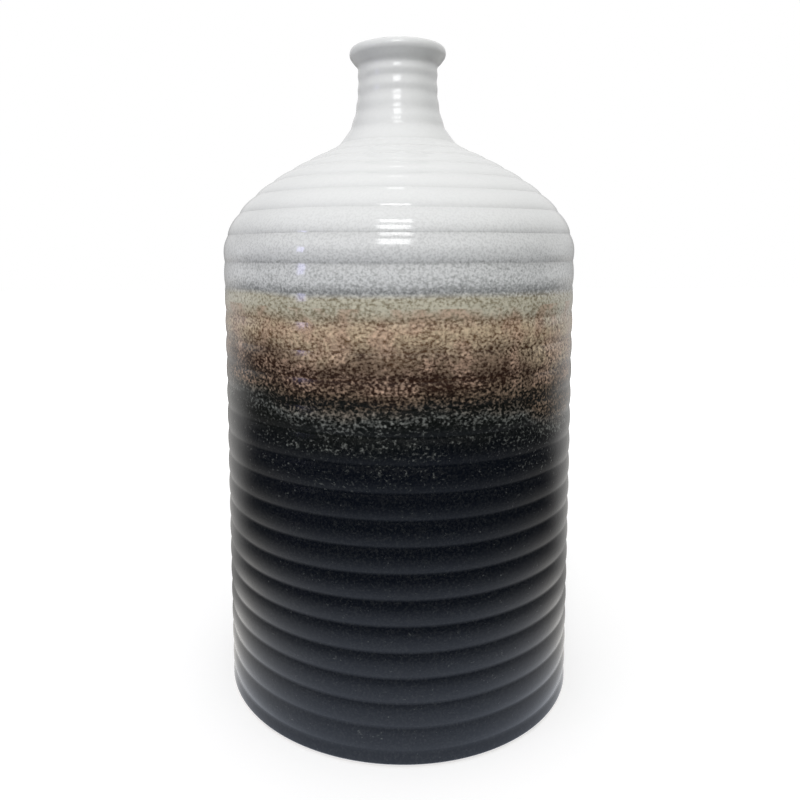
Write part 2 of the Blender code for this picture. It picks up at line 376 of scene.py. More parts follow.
    def lap(self, seam, direction, inner=False):
        """Points where a section runs on past its seam, sinking slowly under its neighbour."""
        points = []
        for part in (0.4, 0.7, 1.0):
            s = seam + direction * part * LAP
            if inner:
                depth = self.thickness(s) - part * part * INNER_LAP_DEPTH
                points.append((*self.at(s, depth), 0.0, LINER))
            else:
                points.append(self.surface(s, part * part * LAP_DEPTH))
        return points

    def outer(self, start, end):
        return [self.surface(s) for s in self.stations(start, end)]

    def inner(self, start, end):
        count = math.ceil(abs(end - start) / INNER_STEP) + 1
        return on(LINER, [self.at(s, self.thickness(s)) for s in np.linspace(start, end, count)])


def lower_body_profile(form, outline):
    """Section from the middle of the underside, up the outside and down to the inner floor."""
    inner_radius = form.body_radius - form.wall
    floor_height = form.foot_recess + form.floor
    recess_radius = form.body_radius - form.foot_ring_width
    edge_centre = (outline.surface(form.foot_edge)[0] - form.foot_edge, form.foot_edge)
    fillet_centre = (inner_radius - form.floor_fillet, floor_height + form.floor_fillet)
    underside = [
        (0.0, form.foot_recess), (recess_radius - form.foot_recess, form.foot_recess),
        (recess_radius, 0.0), (edge_centre[0], 0.0),
    ]
    floor = [(r, floor_height) for r in np.linspace(fillet_centre[0], 0.0, FLOOR_STEPS + 1)[1:]]
    return (
        on(CLAY, underside)
        + on(SKIN, arc(edge_centre, form.foot_edge, -math.pi / 2, 0, ARC_STEPS)[1:-1])
        + outline.outer(form.foot_edge, outline.body_seam)
        + outline.lap(outline.body_seam, 1)
        + outline.lap(outline.body_seam, 1, inner=True)[::-1]
        + outline.inner(outline.body_seam, fillet_centre[1])[:-1]
        + on(LINER, arc(fillet_centre, form.floor_fillet, 0, -math.pi / 2, ARC_STEPS) + floor)
    )


def shoulder_profile(form, outline):
    """Closed section of the dome."""
    low, high = outline.body_seam, outline.neck_seam
    return (
        outline.lap(low, -1)[::-1] + outline.outer(low, high) + outline.lap(high, 1)
        + outline.lap(high, 1, inner=True)[::-1] + outline.inner(high, low)
        + outline.lap(low, -1, inner=True)
    )


def neck_profile(form, outline):
    """Closed section of the neck and the rolled lip."""
    low = outline.neck_seam
    edge = [outline.on_bead(a) for a in np.linspace(BEAD_START, BEAD_END, 3 * ARC_STEPS)]
    return (
        outline.lap(low, -1)[::-1] + outline.outer(low, outline.end)[:-1] + on(SKIN, edge)
        + outline.inner(outline.end, low)[1:] + outline.lap(low, -1, inner=True)
    )


def drift(point, groove, amount):
    """How far the potter's hand moves this point towards the axis."""
    slow = noise.noise(point * WOBBLES)
    ring = noise.noise(point * RING_CHANGES)
    return amount * (0.5 + 0.4 * slow + groove * (0.5 + 0.9 * ring))


def clay_piece(context, name, node, section, finishes):
    """Turn a section once round the axis, drift its skin by hand and put it on the pot.

    The finishes go to the outer skin, the inside and the bare clay in that order.
    """
    scene = context.scene
    rings = scene.vase_rings
    profile = section(scene.vase_form, Outline(scene.vase_form, rings))
    materials = [material_for(finish, scene.vase_glaze) for finish in finishes]
    bm = bmesh.new()
    groove_layer = bm.verts.layers.float.new("groove")
    zone_layer = bm.verts.layers.float.new("zone")
    points = []
    for r, z, groove, zone in profile:
        vert = bm.verts.new((r, 0.0, z + FOOT_HEIGHT))
        vert[groove_layer], vert[zone_layer] = groove, zone
        points.append(vert)
    pairs = list(zip(points, points[1:]))
    if profile[0][0] > 0.0:
        pairs.append((points[-1], points[0]))
    edges = [bm.edges.new(pair) for pair in pairs]
    bmesh.ops.spin(
        bm, geom=points + edges, axis=(0, 0, 1), cent=(0, 0, 0), angle=2 * math.pi,
        steps=SEGMENTS, use_merge=True,
    )
    bmesh.ops.remove_doubles(bm, verts=bm.verts[:], dist=MERGE)
    bmesh.ops.recalc_face_normals(bm, faces=bm.faces[:])
    for vert in bm.verts:
        if vert[zone_layer] > 0.5:
            x, y, z = vert.co
            scale = 1 - drift(vert.co, vert[groove_layer], rings.hand_drift) / math.hypot(x, y)
            from_end = min(z - FOOT_HEIGHT, FOOT_HEIGHT + TOP_HEIGHT - z)
            sway = rings.hand_sway * min(from_end / CALM_END, 1.0) * noise.noise(vert.co * SWAYS)
            vert.co = (x * scale, y * scale, z + sway)
    for face in bm.faces:
        zone = min(vert[zone_layer] for vert in face.verts)
        face.smooth = True
        face.material_index = min(int(SKIN - zone), len(materials) - 1)
    mesh = bpy.data.meshes.new(name)
    bm.to_mesh(mesh)
    bm.free()
    for material in materials:
        mesh.materials.append(material)
    piece = bpy.data.objects.new(name, mesh)
    scene.collection.objects.link(piece)
    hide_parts(node)
    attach(piece, "root")


def add(tree, kind, inputs=None, **settings):
    """Add a node, give it its settings, and link or set its inputs.

    A node that is given as an input stands for its first output.
    """
    node = tree.nodes.new(kind)
    for name, value in settings.items():
        setattr(node, name, value)
    for name, value in (inputs or {}).items():
        if isinstance(value, bpy.types.Node):
            value = value.outputs[0]
        if isinstance(value, bpy.types.NodeSocket):
            tree.links.new(value, node.inputs[name])
        else:
            node.inputs[name].default_value = value
    return node


def material_for(build, colours):
    """The material named for the function that builds its nodes, made when first asked for."""
    material = bpy.data.materials.get(build.__name__)
    if material:
        return material
    material = bpy.data.materials.new(build.__name__)
    material.use_nodes = True
    tree = material.node_tree
    tree.nodes.clear()
    place = add(tree, "ShaderNodeTexCoord").outputs["Object"]
    shader = build(tree, place, colours)
    add(tree, "ShaderNodeOutputMaterial", {"Surface": shader})
    return material


# How far the glazes ran up (mm) at each angle from the front, for the dark ground and for the
# crystals
GROUND_RUN = (
    (-180, 0), (-120, 3), (-75, 4), (-42, 3), (-28, -2), (5, 0), (30, 1), (50, 0), (90, 4),
    (135, 3), (180, 0),
)
CRYSTAL_RUN = (
    (-180, 0), (-130, -1), (-80, 3), (-42, 5), (-28, -2), (0, 0), (25, 0), (48, -9), (90, 0),
    (140, 3), (180, 0),
)

# Height above the foot in mm, ground between the crystals there, the crystals, the share of the
# surface that they cover, and how strongly grey flecks show; the flecks' strength also sets how
# much painted shade the grooves get
GLAZE_BANDS = (
    (124, "charcoal", "ash", 0.05, 0.0),
    (148, "charcoal", "ash", 0.22, 0.0),
    (165, "ink", "ash", 0.28, 0.0),
    (171, "ink", "ash", 0.53, 0.0),
    (179, "ink", "dun", 0.50, 0.0),
    (189, "umber", "dun", 0.52, 0.0),
    (197, "umber", "dun", 0.67, 0.0),
    (206, "bark", "sand", 0.70, 0.0),
    (214, "bark", "sand", 0.78, 0.0),
    (221, "olive", "oat", 0.76, 0.0),
    (227, "olive", "oat", 0.77, 0.3),
    (229, "pewter", "mist", 0.60, 1.4),
    (233, "pewter", "mist", 0.76, 1.2),
    (243, "pewter", "mist", 1.00, 1.0),
    (252, "pearl", "white", 1.02, 0.75),
    (260, "pearl", "white", 1.12, 0.5),
    (270, "white", "white", 1.26, 0.16),
    (292, "white", "white", 1.26, 0.0),
)

# Heights above the foot in mm: where the glaze line grows level, where the crystals' tones grow
# calm, where the dome's gloss gives way to the neck's, and the middle and reach of the rose tint
LEVEL_LINE = (198.0, 224.0)
CALM_TONES = (200.0, 228.0)
DULLER_NECK = (295.0, 320.0)
ROSE_MIDDLE = 202.0
ROSE_REACH = 20.0
ROSE_SHARE = 0.7

# How far in mm the glaze line can run up or down, how wide its waves are, and the share of that
# reach that they take
RUN_REACH = 40.0
WAVE_SIZE = 34
WAVE_SHARE = 0.30

# Height in mm of the streaks that the throwing left, and the squeeze of their noise that draws
# them wide
STREAK_SIZE = 4.5
STREAK_SQUEEZE = (0.12, 0.12, 1.0)
# The same for the crystals, and how soft their edges are
CRYSTAL_SIZE = 1.3
CRYSTAL_SQUEEZE = (0.78, 0.78, 1.0)
CRYSTAL_EDGE = 0.22

# The glaze's other noise: its size in mm and how many finer octaves it carries
GLAZE_NOISE = {
    "patches": (11, 3.0),
    "dust": (1.1, 1.5),
    "tone": (1.7, 1.0),
    "blush": (12, 2.0),
    "peel": (4, 1.0),
}


def glaze_lines(tree, mm, axes, height):
    """Height of every point above the lines where the glazes met, as a share of the pot's.

    The lines run up and down round the pot, one for the dark ground and one for the crystals.
    """
    front = add(tree, "ShaderNodeMath", {0: axes["Y"], 1: -1.0}, operation="MULTIPLY")
    turn = add(tree, "ShaderNodeMath", {0: axes["X"], 1: front}, operation="ARCTAN2")
    turn = add(
        tree, "ShaderNodeMapRange", {"Value": turn, "From Min": -math.pi, "From Max": math.pi}
    )
    runs = {}
    for name, line, seed in (("ground", GROUND_RUN, 0.0), ("crystals", CRYSTAL_RUN, 7.0)):
        run = add(tree, "ShaderNodeFloatCurve", {"Value": turn})
        points = run.mapping.curves[0].points
        for degrees, rise in line:
            spot = ((degrees + 180) / 360, 0.5 + rise / (2 * RUN_REACH))
            if degrees in (-180, 180):
                points[0 if degrees < 0 else len(points) - 1].location = spot
            else:
                points.new(*spot)
        run.mapping.update()
        wander = add(
            tree, "ShaderNodeTexNoise",
            {"Vector": mm, "Scale": 1 / WAVE_SIZE, "Detail": 3.0, "Roughness": 0.55, "W": seed},
            noise_dimensions="4D",
        )
        both = add(
            tree, "ShaderNodeMath", {0: wander, 1: WAVE_SHARE, 2: run}, operation="MULTIPLY_ADD"
        )
        rise = add(
            tree, "ShaderNodeMapRange",
            {"Value": both, "From Min": WAVE_SHARE / 2, "From Max": 1 + WAVE_SHARE / 2,
             "To Min": -RUN_REACH, "To Max": RUN_REACH},
            clamp=False,
        )
        # Above the brown band the line keeps level, because it follows a groove
        free = add(
            tree, "ShaderNodeMapRange",
            {"Value": height, "From Min": LEVEL_LINE[0], "From Max": LEVEL_LINE[1],
             "To Min": -1.0, "To Max": -0.12},
        )
        level = add(tree, "ShaderNodeMath", {0: rise, 1: free, 2: height}, operation="MULTIPLY_ADD")
        runs[name] = add(tree, "ShaderNodeMath", {0: level, 1: TOP_HEIGHT / MM}, operation="DIVIDE")
    return runs


def glaze_ramps(tree, runs, glaze):
    """Ground, crystals, their cover and the grey flecks, as the bands give them."""
    ramps = {}
    for name, column, run in (("ground", 1, "ground"), ("crystal", 2, "crystals"),
                              ("cover", 3, "crystals"), ("flecks", 4, "crystals")):
        ramp = add(tree, "ShaderNodeValToRGB", {"Fac": runs[run]})
        stops = ramp.color_ramp.elements
        while len(stops) < len(GLAZE_BANDS):
            stops.new(0.5)
        for stop, band in zip(stops, GLAZE_BANDS):
            stop.position = band[0] * MM / TOP_HEIGHT
            value = band[column]
            shade = getattr(glaze, value) if isinstance(value, str) else (value,) * 3
            stop.color = (*shade, 1.0)
        ramps[name] = ramp
    return ramps


def reactive_stoneware_glaze(tree, place, glaze):
    """Glossy stoneware glaze, a pale one poured over a dark one.

    The eye sees irregular pale crystals about 1.3 mm across, crowded into cream and brown where
    the two glazes met and thinning out to sparse specks in the satin charcoal below. Above it
    the pale glaze is thick, glossy and almost clean.
    """
    mm = add(tree, "ShaderNodeVectorMath", {0: place, "Scale": 1 / MM}, operation="SCALE")
    axes = add(tree, "ShaderNodeSeparateXYZ", {0: mm}).outputs
    height = add(tree, "ShaderNodeMath", {0: axes["Z"], 1: FOOT_HEIGHT / MM}, operation="SUBTRACT")
    runs = glaze_lines(tree, mm, axes, height)
    ramps = glaze_ramps(tree, runs, glaze)
    fields = {}
    for name, (size, detail) in GLAZE_NOISE.items():
        fields[name] = add(
            tree, "ShaderNodeTexNoise", {"Vector": mm, "Scale": 1 / size, "Detail": detail}
        )

    # Cover changes in patches and in level streaks left by the throwing, and drops in the grooves,
    # which leaves them darker: partly how the crystals settle there, partly painted shade
    flat = add(tree, "ShaderNodeMapping", {"Vector": mm, "Scale": STREAK_SQUEEZE})
    streaks = add(
        tree, "ShaderNodeTexNoise", {"Vector": flat, "Scale": 1 / STREAK_SIZE, "Detail": 2.0}
    )
    groove = add(tree, "ShaderNodeAttribute", attribute_name="groove").outputs["Fac"]
    cover = ramps["cover"]
    for field, weight, middle in (
        (fields["patches"], 0.25, 0.5), (streaks, 0.38, 0.5), (groove, -0.12, 0.3),
    ):
        cover = add(
            tree, "ShaderNodeMath", {0: field, 1: weight, 2: cover}, operation="MULTIPLY_ADD"
        )
        cover = add(tree, "ShaderNodeMath", {0: cover, 1: weight * middle}, operation="SUBTRACT")

    # Crystals with soft edges, a little wider than tall: noise of their size, cut off at a level
    # that leaves as many as the cover says
    wide = add(tree, "ShaderNodeMapping", {"Vector": mm, "Scale": CRYSTAL_SQUEEZE})
    grain = add(
        tree, "ShaderNodeTexNoise",
        {"Vector": wide, "Scale": 1 / CRYSTAL_SIZE, "Detail": 1.5, "Roughness": 0.55},
    )
    cut = add(
        tree, "ShaderNodeMapRange", {"Value": cover, "To Min": 0.92, "To Max": 0.30}, clamp=False
    )
    low = add(tree, "ShaderNodeMath", {0: cut, 1: CRYSTAL_EDGE}, operation="SUBTRACT")
    high = add(tree, "ShaderNodeMath", {0: cut, 1: CRYSTAL_EDGE}, operation="ADD")
    # Between them lies a faint haze of crystals too fine to tell apart
    haze = add(
        tree, "ShaderNodeMapRange",
        {"Value": fields["dust"], "From Min": 0.44, "From Max": 0.72, "To Max": 0.055},
    )
    crystals = add(
        tree, "ShaderNodeMapRange",
        {"Value": grain, "From Min": low, "From Max": high, "To Min": haze},
        interpolation_type="SMOOTHSTEP",
    )

    # Each crystal is paler or darker than the next, but hardly so in the pale glaze above
    calm = add(
        tree, "ShaderNodeMapRange",
        {"Value": height, "From Min": CALM_TONES[0], "From Max": CALM_TONES[1], "To Min": 1.7,
         "To Max": 0.06},
    )
    tone = add(tree, "ShaderNodeMath", {0: fields["tone"], 1: 0.5}, operation="SUBTRACT")
    tone = add(tree, "ShaderNodeMath", {0: tone, 1: calm, 2: 1.0}, operation="MULTIPLY_ADD")
    # In the brown band the crystals turn from straw to rose in patches
    blush = add(
        tree, "ShaderNodeMapRange", {"Value": fields["blush"], "From Min": 0.45, "From Max": 0.60}
    )
    band = add(
        tree, "ShaderNodeMath", {0: height, 1: ROSE_MIDDLE, 2: ROSE_REACH}, operation="COMPARE"
    )
    band = add(tree, "ShaderNodeMath", {0: band, 1: ROSE_SHARE}, operation="MULTIPLY")
    blush = add(tree, "ShaderNodeMath", {0: blush, 1: band}, operation="MULTIPLY")
    straw = add(
        tree, "ShaderNodeMix",
        {"Factor": blush, "A": ramps["crystal"], "B": (*glaze.rose, 1.0)}, data_type="RGBA",
    ).outputs["Result"]
    crystal_colour = add(tree, "ShaderNodeVectorMath", {0: straw, "Scale": tone}, operation="SCALE")
    colour_mix = add(
        tree, "ShaderNodeMix", {"Factor": crystals, "A": ramps["ground"], "B": crystal_colour},
        data_type="RGBA",
    )
    # The pale glaze carries fine grey flecks where the dark one lies under it
    fleck = add(
        tree, "ShaderNodeMapRange",
        {"Value": fields["dust"], "From Min": 0.45, "From Max": 0.62, "To Max": 0.20},
    )
    fleck = add(tree, "ShaderNodeMath", {0: fleck, 1: ramps["flecks"]}, operation="MULTIPLY")
    # The grooves are greyer, partly from the glaze pooling there and partly as painted shade, most
    # of all where the pale glaze carries flecks
    groove_pooling_and_shade = add(
        tree, "ShaderNodeMath", {0: ramps["flecks"], 1: 0.16, 2: 0.045}, operation="MULTIPLY_ADD"
    )
    shade = add(tree, "ShaderNodeMath", {0: groove, 1: groove_pooling_and_shade, 2: fleck}, operation="MULTIPLY_ADD")
    shade = add(tree, "ShaderNodeMath", {0: 1.0, 1: shade}, operation="SUBTRACT")
    base = add(
        tree, "ShaderNodeVectorMath", {0: colour_mix.outputs["Result"], "Scale": shade},
        operation="SCALE",
    )

    # Satin in the dark glaze, glossy on the dome and a little duller on the neck
    satin = add(
        tree, "ShaderNodeMapRange",
        {"Value": runs["ground"], "From Min": 0.50, "From Max": 0.70, "To Min": 1.0, "To Max": 0.0},
        interpolation_type="SMOOTHSTEP",
    )
    gloss = add(
        tree, "ShaderNodeMapRange",
        {"Value": height, "From Min": DULLER_NECK[0], "From Max": DULLER_NECK[1],
         "To Min": 0.09, "To Max": 0.17},
    )
    gloss = add(tree, "ShaderNodeMath", {0: satin, 1: 0.11, 2: gloss}, operation="MULTIPLY_ADD")

    # The whole glaze has an orange peel 0.02 mm high. On it lie the crystals, the level ridges
    # that the throwing left, and the roughness of the satin glaze, as shares of that height.
    rough = add(tree, "ShaderNodeMath", {0: fields["dust"], 1: satin}, operation="MULTIPLY")
    skin = fields["peel"]
    for relief, amount in ((crystals, 0.3), (streaks, 1.0), (rough, 1.6)):
        skin = add(
            tree, "ShaderNodeMath", {0: relief, 1: amount, 2: skin}, operation="MULTIPLY_ADD"
        )
    bump = add(tree, "ShaderNodeBump", {"Height": skin, "Strength": 1.0, "Distance": 0.02 * MM})
    return add(
        tree, "ShaderNodeBsdfPrincipled",
        {"Base Color": base, "Roughness": gloss, "IOR": 1.5, "Normal": bump},
    )


def clear_liner_glaze(tree, place, glaze):
    """Clear glaze over pale slip, glossy and even, with a faint cloudiness."""
    cloud = add(tree, "ShaderNodeTexNoise", {"Vector": place, "Scale": 1 / (14 * MM)})
    shade = add(
        tree, "ShaderNodeMapRange",
        {"Value": cloud, "From Min": 0.3, "From Max": 0.7, "To Min": 0.90, "To Max": 1.05},
    )
    colour_out = add(
        tree, "ShaderNodeVectorMath", {0: tuple(glaze.liner), "Scale": shade}, operation="SCALE"
    )
    return add(
        tree, "ShaderNodeBsdfPrincipled", {"Base Color": colour_out, "Roughness": 0.18, "IOR": 1.5}
    )


def bare_stoneware_clay(tree, place, glaze):
    """Unglazed stoneware, wiped and fired: dry, sandy, with fine grog and a few iron specks."""
    # Grog grains are about 0.5 mm, iron specks 0.8 mm
    grog = add(
        tree, "ShaderNodeTexNoise", {"Vector": place, "Scale": 1 / (0.5 * MM), "Detail": 3.0}
    )
    specks = add(tree, "ShaderNodeTexVoronoi", {"Vector": place, "Scale": 1 / (2.4 * MM)})
    speck = add(tree, "ShaderNodeMapRange", {"Value": specks, "From Min": 0.10, "From Max": 0.20})
    shade = add(
        tree, "ShaderNodeMapRange",
        {"Value": grog, "From Min": 0.3, "From Max": 0.7, "To Min": 0.84, "To Max": 1.08},
    )
    shade = add(tree, "ShaderNodeMath", {0: speck, 1: 0.35, 2: 0.65}, operation="MULTIPLY_ADD")
    colour_out = add(
        tree, "ShaderNodeVectorMath", {0: tuple(glaze.clay), "Scale": shade}, operation="SCALE"
    )
    bump = add(tree, "ShaderNodeBump", {"Height": grog, "Strength": 1.0, "Distance": 0.05 * MM})
    return add(
        tree, "ShaderNodeBsdfPrincipled",
        {"Base Color": colour_out, "Roughness": 0.85, "IOR": 1.5, "Normal": bump},
    )


def pressed_felt(tree, place, glaze):
    """Pressed polyester felt: matt, with fibres that lie every way and a faint fuzz."""
    # Fibres are 0.02 mm thick; they are drawn as tangles of 0.25 mm so that they show
    fibres = add(
        tree, "ShaderNodeTexNoise",
        {"Vector": place, "Scale": 1 / (0.25 * MM), "Detail": 4.0, "Distortion": 1.5},
    )
    shade = add(
        tree, "ShaderNodeMapRange",
        {"Value": fibres, "From Min": 0.3, "From Max": 0.7, "To Min": 0.65, "To Max": 1.35},
    )
    colour_out = add(
        tree, "ShaderNodeVectorMath", {0: tuple(glaze.felt), "Scale": shade}, operation="SCALE"
    )
    bump = add(tree, "ShaderNodeBump", {"Height": fibres, "Strength": 1.0, "Distance": 0.08 * MM})
    return add(
        tree, "ShaderNodeBsdfPrincipled",
        {"Base Color": colour_out, "Roughness": 0.95, "Sheen Weight": 0.3, "Normal": bump},
    )


class VASE_OT_lower_body(bpy.types.Operator):
    """Straight wall and floor"""

    bl_idname = "vase.lower_body"
    bl_label = "Lower Body"

    def execute(self, context):
        clay_piece(
            context, "glazed_lower_body", "lower_body", lower_body_profile,
            [reactive_stoneware_glaze, clear_liner_glaze, bare_stoneware_clay],
        )
        return {"FINISHED"}


class VASE_OT_shoulder(bpy.types.Operator):
    """Dome between the wall and the neck"""

    bl_idname = "vase.shoulder"
    bl_label = "Shoulder"

    def execute(self, context):
        clay_piece(
            context, "glazed_shoulder", "shoulder", shoulder_profile,
            [reactive_stoneware_glaze, clear_liner_glaze],
        )
        return {"FINISHED"}


class VASE_OT_neck(bpy.types.Operator):
    """Waisted neck with its rolled lip"""

    bl_idname = "vase.neck"
    bl_label = "Neck"

    def execute(self, context):
        clay_piece(
            context, "glazed_neck", "neck", neck_profile,
            [reactive_stoneware_glaze],
        )
        return {"FINISHED"}


class VASE_OT_foot_pads(bpy.types.Operator):
    """Felt discs stuck under the foot ring"""

    bl_idname = "vase.foot_pads"
    bl_label = "Foot Pads"

    def execute(self, context):
        felt = material_for(pressed_felt, context.scene.vase_glaze)
        for name in PAD_NAMES:
            low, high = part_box(name)
            radius = (high.x - low.x) / 2
            centre = (low + high) / 2
            bm = bmesh.new()
            bmesh.ops.create_cone(
                bm, cap_ends=True, segments=PAD_SEGMENTS, radius1=radius, radius2=radius,
                depth=high.z - low.z,
            )
            rims = [e for e in bm.edges if abs(e.verts[0].co.z - e.verts[1].co.z) < MERGE]
            bmesh.ops.bevel(
                bm, geom=rims, offset=PAD_EDGE, offset_type="OFFSET", affect="EDGES", segments=3,
                profile=0.5, material=-1,
            )
            bmesh.ops.translate(bm, verts=bm.verts[:], vec=centre)
            for face in bm.faces:
                face.smooth = abs(face.normal.z) < 0.99
            mesh = bpy.data.meshes.new("felt_" + name)
            bm.to_mesh(mesh)
            bm.free()
            mesh.materials.append(felt)
            pad = bpy.data.objects.new("felt_" + name, mesh)
            context.scene.collection.objects.link(pad)
            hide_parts(name)
            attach(pad, "root")
        return {"FINISHED"}


# Distance from the axis in metres and how bright the table's painted glow is there, which the
# front of the pot mirrors and is lit by, how far that glow is shifted, and half the table's width
TABLE_LIGHT = (
    (0.10, 1.05), (0.15, 0.88), (0.20, 0.64), (0.26, 0.38), (0.34, 0.20), (0.45, 0.10),
    (0.62, 0.02),
)
TABLE_LIGHT_SHIFT = (0.012, 0.0, 0.0)
TABLE_REACH = 4.0

# Lamps: width, height, which brightness and what colour they have, and where they stand: degrees
# round the pot from its front, to the right, and degrees up
LAMPS = {
    "front_strip": (0.64, 0.64, "key", "FFFFFF", -4.0, 31.5),
    "upper_strip": (0.56, 0.28, "key", "FFFFFF", -3.0, 53.5),
    "top_strip": (0.16, 0.14, "top", "FFFFFF", -2.0, 112.0),
    "side_window": (0.16, 0.36, "window", "C9C6FF", -62.0, 6.0),
}
LAMP_AIM = Vector((0.0, 0.0, 0.27))
LAMP_DISTANCE = 2.0

# Brightness of the surroundings from the pot's front (-1) to its back (1), low and higher up,
# and how far the high ones are turned
LOW_RING = ((-0.08, "front"), (0.48, "flanks"), (0.80, "behind"), (0.97, "far_behind"))
HIGH_RING = ((-0.9, "ahead"), (0.2, "sides"), (0.9, "back"))
HIGH_TURN = 0.25
# Where, from level (0) to straight up (1), the low goes over to the high and that to the ceiling
LOW_TO_HIGH = (0.02, 0.30)
HIGH_TO_CEILING = (0.45, 0.85)

# The camera that took the photo, as fitted to the pot's outline and rings
SENSOR_WIDTH = 36.0
LENS = 32.4
LENS_SHIFT = (0.0312, -0.0937)
CAMERA_PLACE = (-0.0134, -0.4245, 0.2491 + FOOT_HEIGHT)
CAMERA_DIP = math.radians(5.993)
CAMERA_ROLL = math.radians(-0.2)


def white_laminate_table(tree, place, studio):
    """White laminate, matt and even, with the pot's soft shadow on it.

    What the pot mirrors of it, and the light it throws back on the pot, is a painted glow that the
    table gives off itself: bright round the foot, dark farther out in front and half dark behind.
    """
    axes = add(tree, "ShaderNodeSeparateXYZ", {0: place}).outputs
    camera_ray = add(tree, "ShaderNodeLightPath").outputs["Is Camera Ray"]
    distance = add(tree, "ShaderNodeVectorMath", {0: place}, operation="LENGTH").outputs["Value"]
    side = add(tree, "ShaderNodeMath", {0: axes["Y"], 1: distance}, operation="DIVIDE")
    shifted = add(tree, "ShaderNodeVectorMath", {0: place, 1: TABLE_LIGHT_SHIFT}, operation="ADD")
    reach = add(tree, "ShaderNodeVectorMath", {0: shifted}, operation="LENGTH").outputs["Value"]
    fall = add(tree, "ShaderNodeValToRGB", {"Fac": reach})
    stops = fall.color_ramp.elements
    while len(stops) < len(TABLE_LIGHT):
        stops.new(0.5)
    for stop, (from_axis, level) in zip(stops, TABLE_LIGHT):
        stop.position = from_axis
        stop.color = (level, level, level, 1.0)
    facing = add(
        tree, "ShaderNodeMapRange",
        {"Value": side, "From Min": -0.9, "From Max": 0.1, "To Min": 1.0, "To Max": 1.18},
        interpolation_type="SMOOTHSTEP",
    )
    behind = add(
        tree, "ShaderNodeMapRange", {"Value": side, "From Min": 0.1, "From Max": 0.6},
        interpolation_type="SMOOTHSTEP",
    )
    level = add(tree, "ShaderNodeVectorMath", {0: fall, "Scale": facing}, operation="SCALE")
    backdrop = add(
        tree, "ShaderNodeMapRange",
        {"Value": reach, "From Min": 0.15, "From Max": 0.30, "To Min": 0.34, "To Max": 0.66},
    )
    # Straight behind the pot it is darker, which its very edges mirror
    dim = add(
        tree, "ShaderNodeMapRange",
        {"Value": side, "From Min": 0.78, "From Max": 0.95, "To Min": 1.0, "To Max": 0.55},
    )
    backdrop = add(tree, "ShaderNodeMath", {0: backdrop, 1: dim}, operation="MULTIPLY")
    level = add(
        tree, "ShaderNodeMix", {"Factor": behind, "A": level, "B": backdrop}, data_type="RGBA"
    ).outputs["Result"]
    ahead = add(tree, "ShaderNodeMapRange", {"Value": side, "From Min": 0.0, "From Max": -0.9})
    cool = add(
        tree, "ShaderNodeMix",
        {"Factor": ahead, "A": (*linear("FFFDFA"), 1.0), "B": (*linear("DCE6F8"), 1.0)},
        data_type="RGBA",
    ).outputs["Result"]
    painted_glow_colour = add(tree, "ShaderNodeVectorMath", {0: level, 1: cool}, operation="MULTIPLY")
    diffuse = add(tree, "ShaderNodeBsdfDiffuse", {"Color": (*studio.laminate, 1.0)})
    # Far from the pot the table goes over into the white backdrop
    far = add(
        tree, "ShaderNodeMapRange", {"Value": distance, "From Min": 0.35, "From Max": 0.9},
        interpolation_type="SMOOTHSTEP",
    )
    lift = add(tree, "ShaderNodeMapRange", {"Value": far, "To Min": 0.32, "To Max": 1.0})
    glow = add(tree, "ShaderNodeEmission", {"Color": (1, 1, 1, 1), "Strength": lift})
    plain = add(tree, "ShaderNodeAddShader", {0: diffuse, 1: glow})
    # Every ray but the camera's sees the painted glow: the table gives off this light itself
    painted_glow = add(tree, "ShaderNodeEmission", {"Color": painted_glow_colour})
    return add(tree, "ShaderNodeMixShader", {0: camera_ray, 1: painted_glow, 2: plain})


